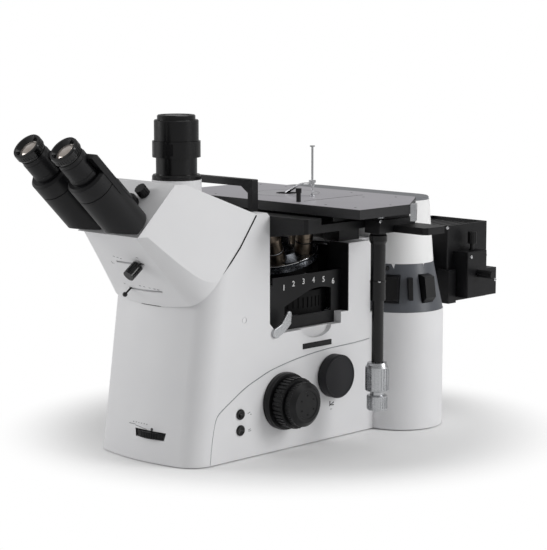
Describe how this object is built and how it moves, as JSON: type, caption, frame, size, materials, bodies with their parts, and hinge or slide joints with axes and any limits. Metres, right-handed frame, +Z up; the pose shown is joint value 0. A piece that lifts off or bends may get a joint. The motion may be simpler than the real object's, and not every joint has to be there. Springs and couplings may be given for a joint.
{
  "type": "inverted microscope",
  "caption": "Inverted microscope with inclined binocular head, camera port, mechanical stage, tilted nosepiece and rear lamp house for light reflected from the specimen.",
  "frame": {"origin": "centre of the underside of the front right foot, on the floor", "axes": "+X to the operator's right, -Y towards the operator, +Z up"},
  "size_m": [0.391, 0.793, 0.4324],
  "materials": {
    "white_paint": "fine textured light grey paint",
    "dark_grey_paint": "satin dark grey paint",
    "black_paint": "satin black paint",
    "black_anodised": "black anodised",
    "grey_anodised": "fine blasted and grey anodised",
    "bare_aluminium": "turned",
    "chrome_plate": "polished",
    "satin_steel": "sheet",
    "nickel_barrel": "satin plated",
    "black_plastic": "moulded",
    "clear_glass": "coated",
    "black_rubber": "moulded"
  },
  "bodies": {
    "frame": {"base_plate": "satin_steel", "bay_lining": "black_paint", "body_housing": "white_paint", "camera_adapter": "black_anodised", "camera_tube": "black_anodised", "carry_handle": "black_paint", "column_band": "dark_grey_paint", "column_top_cover": "dark_grey_paint", "column_upper": "white_paint", "focus_rings": "black_plastic", "halogen_lamp": "clear_glass", "head_cover": "white_paint", "hinge_base": "black_paint", "lamp_adapter": "black_paint", "lamp_adjuster": "black_paint", "lamp_house": "black_paint", "number_plate": "black_paint", "port_cap": "black_plastic", "power_inlet": "black_plastic", "rubber_feet": "black_rubber", "side_port_cover": "black_plastic", "stage_support": "black_anodised"},
    "stage_y": {"stage_carriage": "black_anodised", "drive_arm": "black_anodised", "drive_tube": "black_anodised"},
    "stage_x": {"stage_top_plate": "grey_anodised", "stage_insert": "bare_aluminium", "stage_end_bracket": "bare_aluminium", "stage_post": "black_anodised", "clip_post": "chrome_plate"},
    "clip": {"specimen_clip": "chrome_plate"},
    "y_knob": {"stage_y_knob": "bare_aluminium"},
    "x_knob": {"stage_x_knob": "bare_aluminium"},
    "nosepiece": {"nosepiece_slide": "black_paint"},
    "turret": {"nosepiece_turret": "black_anodised", "high_objectives": "nickel_barrel", "low_objectives": "nickel_barrel"},
    "cube_wheel": {"cube_turret": "black_paint"},
    "coarse": {"coarse_focus": "black_plastic"},
    "fine": {"fine_focus": "black_plastic"},
    "light_control": {"light_wheel": "black_plastic"},
    "button_up": {"upper_button": "black_plastic"},
    "button_low": {"lower_button": "black_plastic"},
    "beam_slider": {"beam_knob": "black_plastic"},
    "lens_lever": {"beam_lever": "chrome_plate"},
    "selector": {"selector_lever": "bare_aluminium"},
    "analyser": {"analyser_slider": "black_plastic"},
    "aperture": {"aperture_slider": "black_plastic"},
    "field": {"field_slider": "black_plastic"},
    "filter": {"filter_tab": "black_plastic"},
    "left_housing": {"left_prism_housing": "black_paint"},
    "right_housing": {"right_prism_housing": "black_paint"},
    "left_ocular": {"left_eyepiece": "black_plastic", "left_eye_lens": "clear_glass"},
    "right_ocular": {"right_eyepiece": "black_plastic", "right_eye_lens": "clear_glass"},
    "lamp_height": {"lamp_height_knob": "black_plastic"},
    "lamp_side": {"lamp_side_knob": "black_plastic"},
    "clamp": {"clamp_knob": "black_plastic"},
    "rocker": {"switch_rocker": "black_plastic"}
  },
  "joints": [
    {"name": "stage_y_travel", "type": "slide", "parent": "frame", "child": "stage_y", "axis": [0, 1, 0], "range_m": [-0.025, 0.025]},
    {"name": "stage_x_travel", "type": "slide", "parent": "stage_y", "child": "stage_x", "axis": [1, 0, 0], "range_m": [-0.025, 0.025]},
    {"name": "clip_turn", "type": "hinge", "parent": "stage_x", "child": "clip", "pos_m": [-0.008, 0.1915, 0.336], "axis": [0, 0, 1], "range_deg": [-60, 60]},
    {"name": "y_knob_turn", "type": "hinge", "parent": "stage_y", "child": "y_knob", "pos_m": [0.101, 0.199, 0.09], "axis": [0, 0, 1], "range_deg": [-145, 145]},
    {"name": "x_knob_turn", "type": "hinge", "parent": "stage_y", "child": "x_knob", "pos_m": [0.101, 0.199, 0.06], "axis": [0, 0, 1], "range_deg": [-180, 180]},
    {"name": "nosepiece_focus", "type": "slide", "parent": "frame", "child": "nosepiece", "axis": [0, 0, 1], "range_m": [-0.004, 0.003]},
    {"name": "turret_turn", "type": "hinge", "parent": "nosepiece", "child": "turret", "pos_m": [-0.066, 0.19116, 0.2412], "axis": [0, -0.2588, 0.9659], "continuous": true},
    {"name": "cube_wheel_turn", "type": "hinge", "parent": "frame", "child": "cube_wheel", "pos_m": [-0.066, 0.176, 0.18], "axis": [0, 0, 1], "continuous": true},
    {"name": "coarse_turn", "type": "hinge", "parent": "frame", "child": "coarse", "pos_m": [-0.066, 0.101, 0.0655], "axis": [1, 0, 0], "range_deg": [-38.5, 29]},
    {"name": "fine_turn", "type": "hinge", "parent": "coarse", "child": "fine", "pos_m": [-0.066, 0.101, 0.0655], "axis": [1, 0, 0], "range_deg": [-180, 180]},
    {"name": "light_turn", "type": "hinge", "parent": "frame", "child": "light_control", "pos_m": [-0.0495, -0.027, 0.0355], "axis": [0, 0, 1], "range_deg": [-135, 135]},
    {"name": "upper_press", "type": "slide", "parent": "frame", "child": "button_up", "axis": [-1, 0, 0], "range_m": [0, 0.0015], "stiffness_N_per_m": 400, "springref_m": -0.001},
    {"name": "lower_press", "type": "slide", "parent": "frame", "child": "button_low", "axis": [-1, 0, 0], "range_m": [0, 0.0015], "stiffness_N_per_m": 400, "springref_m": -0.001},
    {"name": "beam_slide", "type": "slide", "parent": "frame", "child": "beam_slider", "axis": [1, 0, 0], "range_m": [-0.038, 0.007]},
    {"name": "lens_slide", "type": "slide", "parent": "frame", "child": "lens_lever", "axis": [1, 0, 0], "range_m": [0, 0.055]},
    {"name": "selector_turn", "type": "hinge", "parent": "frame", "child": "selector", "pos_m": [0.027, 0.086, 0.155], "axis": [1, 0, 0], "range_deg": [-30, 40]},
    {"name": "analyser_pull", "type": "slide", "parent": "frame", "child": "analyser", "axis": [1, 0, 0], "range_m": [0, 0.03]},
    {"name": "aperture_pull", "type": "slide", "parent": "frame", "child": "aperture", "axis": [0.4695, -0.8829, 0], "range_m": [0, 0.01]},
    {"name": "field_pull", "type": "slide", "parent": "frame", "child": "field", "axis": [0.9903, -0.1392, 0], "range_m": [0, 0.01]},
    {"name": "filter_swing", "type": "hinge", "parent": "frame", "child": "filter", "pos_m": [0.024, 0.334, 0.19], "axis": [0, 0, 1], "range_deg": [-5, 8]},
    {"name": "right_housing_swing", "type": "hinge", "parent": "frame", "child": "right_housing", "pos_m": [-0.066, -0.0825, 0.321], "axis": [0, -0.7071, 0.7071], "range_deg": [-11, 6.5]},
    {"name": "left_housing_swing", "type": "hinge", "parent": "frame", "child": "left_housing", "pos_m": [-0.066, -0.0825, 0.321], "axis": [0, -0.7071, 0.7071], "range_deg": [-6.5, 11]},
    {"name": "right_eyepiece_turn", "type": "hinge", "parent": "right_housing", "child": "right_ocular", "pos_m": [-0.0319, -0.10449, 0.29901], "axis": [0, -0.7071, 0.7071], "range_deg": [-180, 180]},
    {"name": "left_eyepiece_turn", "type": "hinge", "parent": "left_housing", "child": "left_ocular", "pos_m": [-0.1001, -0.10449, 0.29901], "axis": [0, -0.7071, 0.7071], "range_deg": [-180, 180]},
    {"name": "lamp_height_turn", "type": "hinge", "parent": "frame", "child": "lamp_height", "pos_m": [0, 0.519, 0.235], "axis": [0, 0, 1], "range_deg": [-180, 180]},
    {"name": "lamp_side_turn", "type": "hinge", "parent": "frame", "child": "lamp_side", "pos_m": [0.024, 0.516, 0.187], "axis": [1, 0, 0], "range_deg": [-180, 180]},
    {"name": "clamp_turn", "type": "hinge", "parent": "frame", "child": "clamp", "pos_m": [-0.049, -0.06553, 0.33797], "axis": [0, -0.7071, 0.7071], "range_deg": [-60, 60]},
    {"name": "switch_rock", "type": "hinge", "parent": "frame", "child": "rocker", "pos_m": [-0.148, 0.392, 0.041], "axis": [1, 0, 0], "range_deg": [0, 11]}
  ],
  "couplings": [
    {"joint": "y_knob_turn", "follows": "stage_y_travel", "rad_per_m": 101},
    {"joint": "x_knob_turn", "follows": "stage_x_travel", "rad_per_m": -125},
    {"joint": "coarse_turn", "follows": "nosepiece_focus", "rad_per_m": 166.67},
    {"joint": "left_housing_swing", "follows": "right_housing_swing", "ratio": -1}
  ]
}
